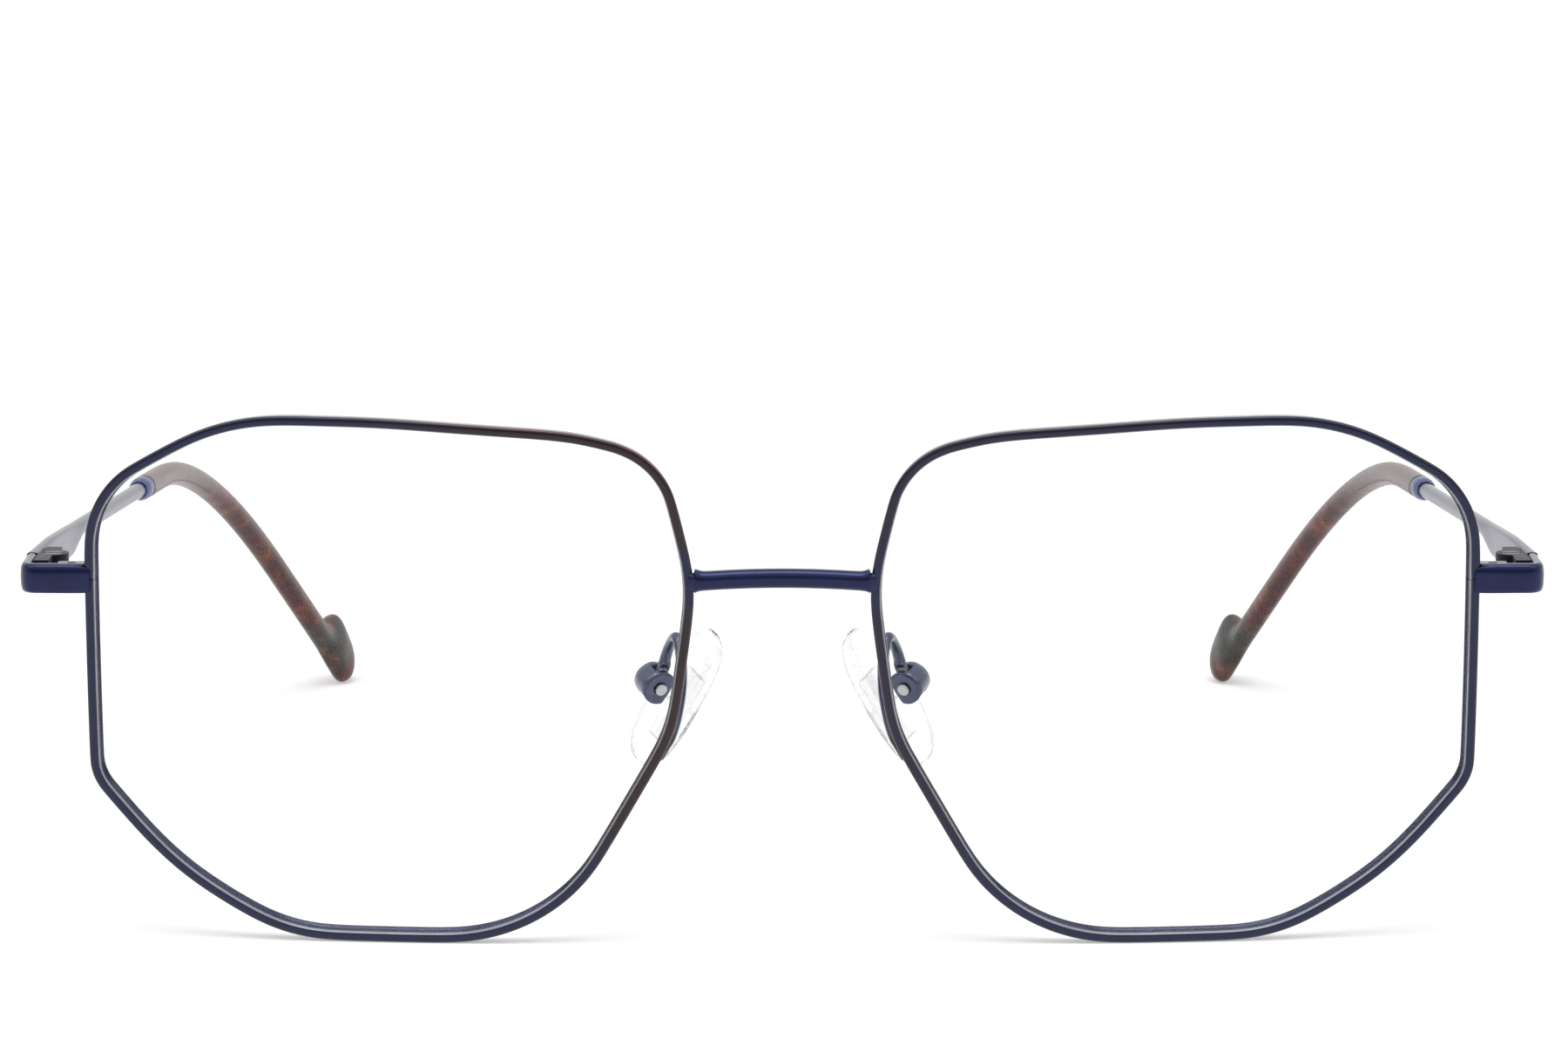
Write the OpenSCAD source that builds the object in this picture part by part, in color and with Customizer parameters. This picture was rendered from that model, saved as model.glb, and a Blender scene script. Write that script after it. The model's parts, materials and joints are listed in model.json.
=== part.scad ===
// Geometric metal eyeglasses, standing open on a table.
// Z is up, the lenses face -Y and the temples run back along +Y. Sides are the
// wearer's: "right" is -X. Everything is drawn for the left side and mirrored.

/* [Rim outline] */
// Width of one rim, outside
eye_w = 56.5; // [52:0.5:60]
// Height of one rim, outside
eye_h = 50.3; // [47:0.1:56]
// Distance between the two rims at the nose
nose_gap = 15.8; // [14:0.1:22]
// Upper temple corner: run of its slanted edge along the top
top_cut_w = 13.2; // [8:0.2:18]
// Upper temple corner: run of its slanted edge down the side
top_cut_h = 7.7; // [5:0.1:12]
// Flat stretch of the brow, measured from the nose side of the rim
brow_w = 28.9; // [22:0.1:34]
// Place of the brow's soft bend, measured from the nose side of the rim
brow_bend_w = 10.6; // [9:0.1:16]
// Drop of the brow at its soft bend
brow_bend_h = 1.2; // [0.6:0.05:1.6]
// Upper nose corner: inset from the nose side
nose_top_w = 3; // [1:0.1:4]
// Upper nose corner: drop from the top
nose_top_h = 3.7; // [2:0.1:5]
// Height of the rim's closest point to the nose, above the rim's bottom
nose_h = 34.8; // [30:0.2:38]
// Lower nose knee: inset from the nose side
knee_w = 1.9; // [1:0.1:3]
// Lower nose knee: height above the rim's bottom
knee_h = 20.8; // [17:0.5:24]
// Lower nose corner: run of the long slanted edge along the bottom
nose_cut_w = 13.6; // [10:0.2:16]
// Lower temple corner: where the bottom edge starts to rise, from the side
low_cut_w = 18.1; // [14:0.1:20]
// Lower temple corner: where its rounded slant bends, from the side
low_bend_w = 7.7; // [6:0.1:9]
// Lower temple corner: height of that bend
low_bend_h = 6.2; // [5:0.1:7.2]
// Lower temple corner: where the straight side starts
low_cut_h = 15.2; // [12:0.1:18]

/* [Rim wire and lens] */
// Width of the rim wire, seen from the front
rim_w = 0.95; // [0.8:0.05:1.4]
// Depth of the rim wire, front to back
rim_d = 1.8; // [1.4:0.1:2.4]
// Rounding of the rim wire's corners
rim_round = 0.25; // [0.1:0.05:0.35]
// Depth of the V groove that holds the lens
groove_d = 0.45; // [0.3:0.05:0.6]
// Width of the V groove at its mouth
groove_w = 0.84; // [0.7:0.02:1]
// Thickness of the lens
lens_t = 1.2; // [1:0.1:2]
// Radius of the lens dome
dome_r = 165; // [120:5:260]
// Play between the lens and its groove
lens_play = 0.06; // [0.03:0.01:0.1]
// Slit in the rim wire, which the rim locks close
rim_slit = 0.06; // [0.06:0.02:0.2]

/* [Front posture] */
// Tilt of the front, top towards the viewer, in degrees
tilt = 6; // [2:0.5:10]
// Wrap of each lens round the face, in degrees
wrap = 4; // [0:0.5:8]

/* [Bridge] */
// Height of the bridge bar
bridge_h = 1.85; // [1.4:0.05:2.6]
// Depth of the bridge bar
bridge_d = 1.6; // [1.2:0.1:2.2]
// Height of the bridge's ends above the rims' bottom
bridge_v = 35.2; // [31:0.5:38]
// Radius of the bridge's upward arch
bridge_arch = 100; // [60:5:200]
// How far the bridge laps over the front of each rim
bridge_lap = 0.65; // [0.4:0.05:0.8]

/* [Endpieces and rim locks] */
// Height of the endpieces above the rims' bottom
end_v = 34.3; // [30:0.5:37]
// Reach of the endpiece beyond the rim's side
end_w = 6.2; // [5.5:0.1:8]
// Height of the endpiece bar
end_h = 2.85; // [2.6:0.1:3.6]
// Thickness of the endpiece's front
end_t = 1.45; // [1.2:0.05:1.5]
// Thickness of the endpiece's return, and of the temple where it meets it
side_t = 1.15; // [0.9:0.05:1.4]
// Length of the endpiece's return, from the back of its front to the seam
return_l = 4.9; // [4:0.1:6]
// Outer corner radius of the endpiece
end_round = 1.7; // [1.6:0.1:2]
// Width of the rim locks
lock_w = 2.6; // [2.2:0.1:2.9]
// Depth of the rim locks
lock_d = 2; // [1.6:0.1:2.4]
// Height of each rim lock
lock_h = 1.1; // [0.9:0.05:1.3]
// Radius of the rim lock's screw
lock_screw_r = 0.4; // [0.3:0.05:0.5]

/* [Hinges] */
// Radius of the hinge knuckles
knuckle_r = 1.4; // [1.2:0.05:1.5]
// Height of the middle knuckle
mid_h = 1; // [0.8:0.05:1.2]
// Radius of the hinge screw's shank
pin_r = 0.6; // [0.45:0.05:0.7]
// Running clearance round the screw
pin_play = 0.04; // [0.02:0.01:0.08]
// Gap between neighbouring knuckles, and at the temple seam
knuckle_gap = 0.06; // [0.04:0.01:0.1]
// Radius of the screw's head
screw_head_r = 0.95; // [0.8:0.05:1.1]
// Height of the screw's head
screw_head_h = 0.35; // [0.25:0.05:0.45]
// Length of the leaves, from the screw
leaf_l = 4.2; // [3.4:0.1:4.6]

/* [Temples] */
// Inward angle of the open temple, in degrees
toe_in = 4.5; // [2:0.5:7]
// Downward slope of the temple, in degrees
slope = 3.1; // [1:0.1:5]
// Length of the flat paddle behind the hinge
paddle_l = 23.5; // [20:1:34]
// Droop of the paddle's lower edge below the hinge's centre
paddle_drop = 2.05; // [1.7:0.05:2.5]
// Radius of the temple wire
wire_r = 0.8; // [0.65:0.05:1]
// Height of the wire's axis above the hinge's centre, at the hinge
wire_rise = 1.1; // [0.8:0.1:1.5]
// Distance from the hinge to the ear bend
bend_at = 69; // [66:0.5:84]
// Radius of the ear bend
bend_r = 61; // [50:1:70]
// Angle of the ear bend, in degrees
bend_angle = 41.5; // [36:0.5:46]
// Roll of the ear bend towards the head, in degrees
bend_roll = 21; // [5:0.5:30]
// Length of the collar that closes the tip
collar_l = 2.8; // [2:0.2:6]
// Radius of the collar
collar_r = 1.2; // [1.1:0.05:1.5]

/* [Temple tips] */
// Straight part of the tip ahead of the ear bend
tip_lead = 10.5; // [6:0.5:14]
// Height of the tip at the collar
tip_start_h = 2.45; // [2.3:0.05:3]
// Height of the tip down the bend
tip_h = 3.1; // [2.8:0.1:4]
// Thickness of the tip
tip_t = 2.4; // [2.2:0.05:3]
// Height of the rounded blade at the tip's end
blade_h = 8.8; // [5:0.1:9]
// Length of the blade
blade_l = 7.6; // [5:0.2:9]
// Thickness of the blade
blade_t = 3.1; // [2.4:0.1:3.4]
// Twist that leans the blade's top towards the head, in degrees
blade_twist = 7; // [0:0.5:12]
// Radius of the core wire inside the tip
core_r = 0.7; // [0.5:0.05:0.75]
// Play of the core wire inside the tip
core_play = 0.05; // [0.03:0.01:0.1]
// Length of the tip's end that the core wire doesn't reach
core_stop = 6; // [4:0.5:12]

/* [Nose pads] */
// Height of a nose pad
pad_h = 14.5; // [11:0.1:16]
// Width of a nose pad
pad_w = 7.2; // [6.5:0.1:9]
// Thickness of a nose pad
pad_t = 2.2; // [1.8:0.1:2.8]
// Sideways distance of a pad's centre from the middle
pad_x = 9.9; // [9:0.1:11]
// Distance of a pad's centre behind the rims' bottom
pad_y = 6; // [5:0.1:8]
// Height of a pad's centre above the rims' bottom
pad_z = 22; // [20:0.1:24]
// Lean of the pad towards the nose at its top, in degrees
pad_lean = 30; // [20:0.5:35]
// Splay of the pad's back edge away from the nose, in degrees
pad_splay = 29; // [20:0.5:40]
// Distance of the pad screw behind the pad's middle
pad_pivot = 3.2; // [2.8:0.1:3.6]
// Radius of the pad box's round face
box_r = 1.65; // [1.5:0.05:2]
// Length of the pad box along the screw
box_l = 2.4; // [2.3:0.1:3.4]
// Thickness of the pad insert's lug
lug_t = 1; // [0.8:0.05:1.1]
// Radius of the pad screw
pad_screw_r = 0.4; // [0.3:0.05:0.5]
// Radius of the pad arm's wire
arm_r = 0.56; // [0.4:0.01:0.6]

/* [Hidden] */

navy = [0.13, 0.16, 0.33];
brown = [0.36, 0.2, 0.16];
bright_blue = [0.16, 0.24, 0.5];
clear = [0.86, 0.92, 0.95];
silver = [0.75, 0.76, 0.78];

step_angle = 8.5;
max_step = 5;

// Rim outline, seen from the front of the left eye: corners and their radii,
// counterclockwise from the upper temple corner, about the middle of the rim.
half_w = eye_w / 2;
half_h = eye_h / 2;
corners = [
    [half_w, half_h - top_cut_h, 9.5],
    [half_w - top_cut_w, half_h, 21],
    [brow_w - half_w, half_h, 60],
    [brow_bend_w - half_w, half_h - brow_bend_h, 24],
    [nose_top_w - half_w, half_h - nose_top_h, 8],
    [-half_w, nose_h - half_h, 17.5],
    [knee_w - half_w, knee_h - half_h, 15],
    [nose_cut_w - half_w, -half_h, 17],
    [half_w - low_cut_w, -half_h, 16],
    [half_w - low_bend_w, low_bend_h - half_h, 30],
    [half_w, low_cut_h - half_h, 5]];

function unit(v) = v / norm(v);
function turned(v, a) = [v[0] * cos(a) - v[1] * sin(a), v[0] * sin(a) + v[1] * cos(a)];
function corner_arc(before, c, after) =
    let (p = [c[0], c[1]],
         a = unit([before[0], before[1]] - p),
         b = unit([after[0], after[1]] - p),
         half = acos(a * b) / 2,
         centre = p + unit(a + b) * c[2] / sin(half),
         first = p + a * c[2] / tan(half) - centre,
         turn = 180 - 2 * half,
         n = ceil(turn / step_angle))
    [for (i = [0:n]) centre + turned(first, turn * i / n)];
function rounded(c) =
    [for (i = [0:len(c) - 1])
        each corner_arc(c[(i + len(c) - 1) % len(c)], c[i], c[(i + 1) % len(c)])];
function split_long(p) =
    [for (i = [0:len(p) - 1])
        let (q = p[(i + 1) % len(p)], k = max(1, ceil(norm(q - p[i]) / max_step)))
        for (j = [0:k - 1]) p[i] + (q - p[i]) * j / k];
outline = split_long(rounded(corners));
rings = len(outline);
// Inward direction at each point of the outline
inward = [for (i = [0:rings - 1])
    let (t = unit(unit(outline[i] - outline[(i + rings - 1) % rings])
                + unit(outline[(i + 1) % rings] - outline[i])))
    [-t[1], t[0]]];

// Points of a swept section, and its form: a p of 1 leaves it round, and less squarer
bar_sides = 16;
function squared(c, p) = sign(c) * pow(abs(c), p);

// A point on the lens dome: x and y across the lens, q behind the middle surface
function on_dome(x, y, q) =
    [x, y, sqrt(dome_r * dome_r - x * x - y * y)] * (dome_r - q) / dome_r - [0, 0, dome_r];
function on_wire(i, p, q) =
    let (c = outline[i] + inward[i] * p) on_dome(c[0], c[1], q);
// The front's tilt and wrap
function leaned(v) =
    let (x = v[0] * cos(wrap) + v[2] * sin(wrap),
         z = -v[0] * sin(wrap) + v[2] * cos(wrap))
    [x, -v[1] * sin(tilt) - z * cos(tilt), v[1] * cos(tilt) - z * sin(tilt)];
lowest = min([for (i = [0:rings - 1]) leaned(on_wire(i, 0, rim_round - rim_d / 2))[2]]);
eye_pos = [nose_gap / 2 + half_w, -leaned(on_dome(0, -half_h, 0))[1], -lowest];
function placed(v) = eye_pos + leaned(v);

// Section of the rim wire: p inward from the outside, q from front to back
wire_section =
    let (d = rim_d / 2, r = rim_round, k = rim_round * 0.3)
    [[0, r - d], [k, k - d], [r, -d],
     [rim_w - r, -d], [rim_w - k, k - d], [rim_w, r - d],
     [rim_w, -groove_w / 2], [rim_w - groove_d, 0], [rim_w, groove_w / 2],
     [rim_w, d - r], [rim_w - k, d - k], [rim_w - r, d],
     [r, d], [k, d - k], [0, d - r]];

// Faces between rings of m points; the last ring joins the first if closed
function skin(n, m, closed) =
    [for (i = [0:n - (closed ? 1 : 2)], j = [0:m - 1])
        let (a = i * m + j, b = i * m + (j + 1) % m,
             c = ((i + 1) % n) * m + (j + 1) % m, d = ((i + 1) % n) * m + j)
        each [[a, b, c], [a, c, d]]];
function caps(n, m) =
    [[for (j = [m - 1:-1:0]) j], [for (j = [0:m - 1]) (n - 1) * m + j]];

// Places that several pieces share
end_proud = 0.25;
side = placed(on_dome(half_w, end_v - half_h, 0));
end_front = side[1] - rim_d / 2 - end_proud;
end_back = end_front + end_t;
end_out = side[0] + end_w;
end_z = side[2];
seam = end_back + return_l;
hinge = [end_out - side_t - knuckle_r - 0.05, seam, end_z];
rest = end_h / 2;

// The temple tip, in the plane of the ear bend: y back and z up, from the bend's start
tip_front = bend_at - tip_lead;
function bend_point(s) =
    s <= 0 ? [s, 0]
    : s <= bend_arc ? [bend_r * sin(s / bend_r * 180 / PI),
                       -bend_r * (1 - cos(s / bend_r * 180 / PI))]
    : [bend_r * sin(bend_angle) + (s - bend_arc) * cos(bend_angle),
       -bend_r * (1 - cos(bend_angle)) - (s - bend_arc) * sin(bend_angle)];
function bend_turn(s) = min(max(s / bend_r * 180 / PI, 0), bend_angle);
bend_arc = bend_r * bend_angle * PI / 180;
function smooth(t) = let (u = min(max(t, 0), 1)) u * u * (3 - 2 * u);
// Shares of the tip's growth at s, and, at the distance e from its end, of its blade and end
blade_rise = blade_l * 0.42;
blade_above = 0.8;
function grown(s) = smooth((s - bend_arc / 2) / 25);
function bladed(e) = smooth((blade_l - e) / blade_rise);
function end_share(e, r) = e >= r ? 1 : sqrt(max(1 - pow(1 - e / r, 2), 0.01));
// Reach of the tip above and below its axis, and its thickness
function tip_half(s) = (tip_start_h + (tip_h - tip_start_h) * grown(s)) / 2;
function tip_up(s, e) =
    (tip_half(s) + blade_above * (blade_h - tip_h) * bladed(e)) * end_share(e, blade_l * 1.5);
function tip_low(s, e) =
    (tip_half(s) + (1 - blade_above) * (blade_h - tip_h) * bladed(e)) * end_share(e, 2.4);
function tip_thick(s, e) =
    (tip_start_h + (tip_t - tip_start_h) * grown(s) + (blade_t - tip_t) * bladed(e))
        * end_share(e, 2);
// A ring of the tip: its lower edge keeps to the wire and the blade rises above it
function tip_ring(s, e) =
    let (p = bend_point(s), a = bend_turn(s), up = tip_up(s, e), low = tip_low(s, e))
    [for (k = [0:bar_sides - 1])
        let (f = 360 * k / bar_sides,
             w = (up - low) / 2 + (up + low) / 2 * sin(f),
             x = tip_thick(s, e) / 2 * squared(cos(f), 0.8)
                 - (w + low) * tan(blade_twist) * bladed(e))
        [x, p[0] + w * sin(a), p[1] + w * cos(a)]];
// The hinge's frame turned in with the temple, and the temple's own frame, sloped as well
function from_toe(v) =
    [hinge[0] + v[0] * cos(toe_in) - v[1] * sin(toe_in),
     hinge[1] + v[0] * sin(toe_in) + v[1] * cos(toe_in), hinge[2] + v[2]];
function from_temple(v) =
    from_toe([v[0], v[1] * cos(slope) + v[2] * sin(slope),
              -v[1] * sin(slope) + v[2] * cos(slope)]);
wire_x = knuckle_r + 0.05 + side_t / 2;
function from_bend(v) =
    from_temple([wire_x + v[0] * cos(bend_roll) + v[2] * sin(bend_roll),
                 bend_at + v[1],
                 wire_rise - v[0] * sin(bend_roll) + v[2] * cos(bend_roll)]);
// The tip is as long as it takes to reach the table
end_steps = [for (k = [0:4]) blade_l - blade_rise * k / 4,
    for (k = [0.81, 0.62, 0.43, 0.27, 0.14, 0.04, 0]) (blade_l - blade_rise) * k];
function end_low(s) =
    min([for (e = end_steps, q = tip_ring(s - e, e)) from_bend(q)[2]]);
probe = bend_arc + 40;
down = end_low(probe) - end_low(probe + 1);
tip_end = probe + end_low(probe) / down;
lead_steps = [for (k = [0:4]) -tip_lead + tip_lead * k / 4];
arc_steps = [for (k = [1:10]) bend_arc * k / 10];
drop_steps = [for (k = [1:2]) bend_arc + (tip_end - blade_l - bend_arc) * k / 3];
tip_rings = [
    for (s = concat(lead_steps, arc_steps, drop_steps)) tip_ring(s, tip_end - s),
    for (e = end_steps) tip_ring(tip_end - e, e)];
// The core wire inside the tip, and the tip's channel for it
core_end = tip_end - core_stop;
function core_ring(s, r) =
    let (p = bend_point(s), a = bend_turn(s))
    [for (k = [0:bar_sides - 1])
        let (f = 360 * k / bar_sides)
        [r * cos(f), p[0] + r * sin(f) * sin(a), p[1] + r * sin(f) * cos(a)]];

// The table's middle point lies below the middle of the glasses
y_back = max([for (r = tip_rings, q = r) from_bend(q)[1]]);
y_front = min([for (i = [0:rings - 1]) placed(on_wire(i, rim_w / 2, -rim_d / 2))[1]]);
y_mid = (y_front + y_back) / 2;

module on_side(left) {
    mirror([left ? 0 : 1, 0, 0]) translate([0, -y_mid, 0]) children();
}
module in_eye() {
    translate(eye_pos) rotate([90 + tilt, 0, 0]) rotate([0, wrap, 0]) children();
}
// The frame of the rim wire at x, y: z out of the front
module at_wire(x, y) {
    in_eye() translate(on_dome(x, y, 0))
        rotate([-asin(y / dome_r), asin(x / dome_r), 0]) children();
}
// What a bar leaves free for the rim wire at x, y, on whose front and side it is soldered
solder = 0.04;
module rim_room(x, y) {
    at_wire(x, y) translate([x < 0 ? -1.5 * solder : 1.5 * solder - 4, -4, -5])
        cube([4, 8, 5 + rim_d / 2 + solder]);
}
module in_temple() {
    translate(hinge) rotate([0, 0, toe_in]) rotate([-slope, 0, 0]) children();
}
module in_bend() {
    in_temple() translate([wire_x, bend_at, wire_rise]) rotate([0, bend_roll, 0]) children();
}
// The pad's frame: x away from the nose, y towards its back edge, z up
module in_pad() {
    translate([pad_x, pad_y, pad_z]) rotate([tilt, 0, 0]) rotate([0, -pad_lean, 0])
        rotate([0, 0, -pad_splay]) children();
}
module rim() {
    color(brown) in_eye() difference() {
        polyhedron([for (i = [0:rings - 1], s = wire_section) on_wire(i, s[0], s[1])],
            skin(rings, len(wire_section), true), convexity = 6);
        translate([half_w - 3, end_v - half_h - rim_slit / 2, -6]) cube([6, rim_slit, 8]);
    }
}

// Lens with a bevelled edge: rings run from the front's middle over the edge to the back's
module lens() {
    shelf = groove_w * 0.4;
    edge = [[rim_w + lens_play, -lens_t / 2], [rim_w + lens_play, -shelf],
            [rim_w - groove_d + 2 * lens_play, 0],
            [rim_w + lens_play, shelf], [rim_w + lens_play, lens_t / 2]];
    shares = [0.2, 0.64];
    function face_ring(k, q) =
        [for (i = [0:rings - 1])
            let (c = (outline[i] + inward[i] * (rim_w + lens_play)) * k) on_dome(c[0], c[1], q)];
    pts = [
        for (k = shares) each face_ring(k, -lens_t / 2),
        for (e = edge, i = [0:rings - 1]) on_wire(i, e[0], e[1]),
        for (k = [1, 0]) each face_ring(shares[k], lens_t / 2)];
    n = 2 * len(shares) + len(edge);
    color(clear, 0.4) in_eye()
        polyhedron(pts, concat(skin(n, rings, false), caps(n, rings)), convexity = 4);
}

// Arched bar, soldered between the rims and lapped over their fronts. It flares into the
// solder's fillets at the rims' sides, and its ends sink towards the rims' fronts.
nose_edge = min([for (p = outline) p[0]]);
bridge_end = placed(on_dome(nose_edge, bridge_v - half_h, -rim_d / 2));
bridge_proud = 0.62;
fillet = 0.9;
fillet_up = 0.75;
fillet_down = 0.2;
function bridge_ring(x) =
    let (a = abs(x),
         z = sqrt(bridge_arch * bridge_arch - a * a)
             - sqrt(bridge_arch * bridge_arch - bridge_end[0] * bridge_end[0]),
         t = min(max(1 - (bridge_end[0] - a) / fillet, 0), 1),
         flare = a > bridge_end[0] ? 0 : 1 - sqrt(1 - t * t),
         sink = 0.4 * smooth((a - bridge_end[0]) / bridge_lap))
    [for (k = [0:bar_sides - 1])
        let (f = 360 * k / bar_sides,
             y = (bridge_d / 2 - (cos(f) > 0 ? sink : 0)) * squared(cos(f), 0.85),
             h = bridge_h / 2 + (sin(f) > 0 ? fillet_up : fillet_down) * flare)
        [x, bridge_end[1] + bridge_d / 2 - bridge_proud - y,
         bridge_end[2] + z + h * squared(sin(f), 0.85)]];
bridge_half = [for (k = [1, 0.5, 0.15]) bridge_end[0] + bridge_lap * k,
    for (t = [1, 0.97, 0.88, 0.72, 0.4, 0]) bridge_end[0] - fillet * (1 - t),
    for (k = [3:-1:0]) (bridge_end[0] - fillet) * k / 4];
bridge_line = concat([for (x = bridge_half) -x],
    [for (i = [len(bridge_half) - 2:-1:0]) bridge_half[i]]);
module bridge() {
    n = len(bridge_line);
    color(navy) translate([0, -y_mid, 0]) difference() {
        polyhedron([for (x = bridge_line, q = bridge_ring(x)) q],
            concat(skin(n, bar_sides, false), caps(n, bar_sides)), convexity = 4);
        for (s = [0, 1]) mirror([s, 0, 0]) rim_room(nose_edge, bridge_v - half_h);
    }
}

// L-shaped bar from the rim's side round to the temple. A ring of it has its outside at
// p in plan, faces the angle a from the front, and is t thick.
function end_ring(p, a, t) =
    [for (k = [0:bar_sides - 1])
        let (f = 360 * k / bar_sides, u = t / 2 * (squared(cos(f), 0.5) - 1))
        [p[0] + sin(a) * u, p[1] - cos(a) * u, end_z + rest * squared(sin(f), 0.75)]];
module endpiece() {
    x0 = side[0] - 0.35;
    bend = 8;
    rings = [
        end_ring([x0, end_front], 0, end_t),
        for (k = [0:bend])
            let (a = 90 * k / bend)
            end_ring([end_out + end_round * (sin(a) - 1), end_front + end_round * (1 - cos(a))],
                a, end_t + (side_t - end_t) * k / bend),
        end_ring([end_out, seam], 90, side_t)];
    n = len(rings);
    color(navy) difference() {
        polyhedron([for (r = rings, q = r) q],
            concat(skin(n, bar_sides, false), caps(n, bar_sides)), convexity = 4);
        rim_room(half_w, end_v - half_h);
    }
}

// Blocks that clamp the rim's two ends round the lens, behind the endpiece
lock_x = side[0] + 0.25;
lock_y = end_back + 0.03;
module lock_block(z, r) {
    difference() {
        translate([lock_x, lock_y, z]) cube([lock_w, lock_d, lock_h]);
        translate([lock_x + lock_w / 2, lock_y + lock_d / 2, z - 1])
            cylinder(h = lock_h + 2, r = r, $fn = 32);
    }
}
module rim_lock_upper() {
    color(navy) lock_block(end_z + rim_slit / 2, lock_screw_r + pin_play);
}
module rim_lock_lower() {
    color(navy) lock_block(end_z - rim_slit / 2 - lock_h, lock_screw_r + pin_play);
}
module rim_lock_screw() {
    color(silver) translate([lock_x + lock_w / 2, lock_y + lock_d / 2, 0]) {
        translate([0, 0, end_z - rim_slit / 2 - lock_h - 0.02])
            cylinder(h = 2 * lock_h + rim_slit - 0.1, r = lock_screw_r, $fn = 32);
        translate([0, 0, end_z - rim_slit / 2 - lock_h - 0.37])
            cylinder(h = 0.35, r = 2 * lock_screw_r, $fn = 32);
    }
}

// Three-knuckle hinge: two knuckles on the front, one on the temple
mid_room = mid_h / 2 + knuckle_gap;
module hinge_front() {
    deep = min(leaf_l, return_l - 0.1);
    color(navy) translate(hinge) difference() {
        union() {
            for (z = [-rest, mid_room])
                translate([0, 0, z]) cylinder(h = rest - mid_room, r = knuckle_r, $fn = 64);
            translate([0, -deep, -rest]) cube([knuckle_r + 0.03, deep, end_h]);
        }
        translate([0, 0, -mid_room])
            cylinder(h = 2 * mid_room, r = knuckle_r + 0.1, $fn = 64);
        translate([-3, 0, -mid_room]) cube([6, 4, 2 * mid_room]);
        translate([0, 0, -rest - 1]) cylinder(h = end_h + 2, r = pin_r + pin_play, $fn = 48);
        translate([0, 0, rest - screw_head_h])
            cylinder(h = 1, r = screw_head_r + pin_play, $fn = 48);
    }
}
module hinge_screw() {
    color(silver) translate(hinge) {
        translate([0, 0, 0.05 - rest]) cylinder(h = end_h - 0.15, r = pin_r, $fn = 48);
        difference() {
            translate([0, 0, rest - screw_head_h + 0.03])
                cylinder(h = screw_head_h - 0.03, r = screw_head_r, $fn = 48);
            translate([-2, -0.12, rest - 0.15]) cube([4, 0.24, 1]);
        }
    }
}
module hinge_temple() {
    color(navy) translate(hinge) difference() {
        union() {
            translate([0, 0, -mid_h / 2]) cylinder(h = mid_h, r = knuckle_r, $fn = 64);
            rotate([0, 0, toe_in]) {
                translate([0, 0, -mid_h / 2]) cube([knuckle_r + 0.03, 2, mid_h]);
                translate([0, knuckle_r + 0.1, -rest])
                    cube([knuckle_r + 0.03, leaf_l - knuckle_r - 0.1, end_h - 0.2]);
            }
        }
        translate([0, 0, -rest - 1]) cylinder(h = end_h + 2, r = pin_r + pin_play, $fn = 48);
    }
}

// Flat paddle that runs into the temple wire, which goes on as the tip's core
fall = tan(slope);
end_mid = wire_rise - paddle_l * fall;
function paddle_top(y) = min(rest, wire_rise + wire_r - y * fall);
function paddle_low(y) =
    lookup(y, [[-1, -rest], [2, -rest - 0.1], [paddle_l - 6, -paddle_drop]])
        + (end_mid - wire_r + paddle_drop) * smooth((y - paddle_l + 6) / 5.5);
function paddle_ring(y) =
    let (round_share = smooth((y - paddle_l + 8) / 8), top = paddle_top(y), low = paddle_low(y))
    [for (k = [0:bar_sides - 1])
        let (f = 360 * k / bar_sides,
             x = (side_t / 2 + (wire_r - side_t / 2) * round_share)
                 * squared(cos(f), 0.28 + 0.72 * round_share))
        from_toe([wire_x + x, y, (top + low) / 2
            + (top - low) / 2 * squared(sin(f), 0.55 + 0.45 * round_share)])];
// The wire's rings turn little by little to meet the rolled ear bend
function wire_ring(t) =
    [for (k = [0:bar_sides - 1])
        let (f = 360 * k / bar_sides - bend_roll * t)
        from_temple([wire_x + wire_r * cos(f), paddle_l + (tip_front - paddle_l) * t,
                     wire_rise + wire_r * sin(f)])];
module temple() {
    rings = [
        for (y = [-1, 1, 3]) paddle_ring(y),
        for (k = [1:3]) paddle_ring(3 + (paddle_l - 11) * k / 4),
        for (k = [0:8]) paddle_ring(paddle_l - 8 + k),
        for (k = [1:6]) wire_ring(k / 6),
        for (s = concat([-tip_lead], arc_steps, [core_end]))
            [for (q = core_ring(s, core_r)) from_bend(q)]];
    n = len(rings);
    color(navy) difference() {
        polyhedron([for (r = rings, q = r) q],
            concat(skin(n, bar_sides, false), caps(n, bar_sides)), convexity = 6);
        translate([hinge[0] - 5, seam + knuckle_gap - 10, hinge[2] - 5]) cube([20, 10, 10]);
    }
}

module collar() {
    color(bright_blue) in_temple() translate([wire_x, tip_front - collar_l, wire_rise])
        rotate([-90, 0, 0]) rotate_extrude($fn = 64)
        polygon([[wire_r + core_play, 0], [wire_r + 0.12, 0], [collar_r - 0.12, 0.5],
            [collar_r, 1.1], [collar_r, collar_l - 0.02], [wire_r + core_play, collar_l - 0.02]]);
}

// The tip's skin runs back out of its channel, round the mouth and over the outside
module tip() {
    channel = concat([core_end + core_play], [for (k = [9:-1:0]) arc_steps[k]], [-tip_lead]);
    rings = concat([for (s = channel) core_ring(s, core_r + core_play)], tip_rings);
    color(brown) in_bend() polyhedron([for (r = rings, q = r) q],
        concat(skin(len(rings), bar_sides, false), caps(len(rings), bar_sides)),
        convexity = 6);
}

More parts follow.
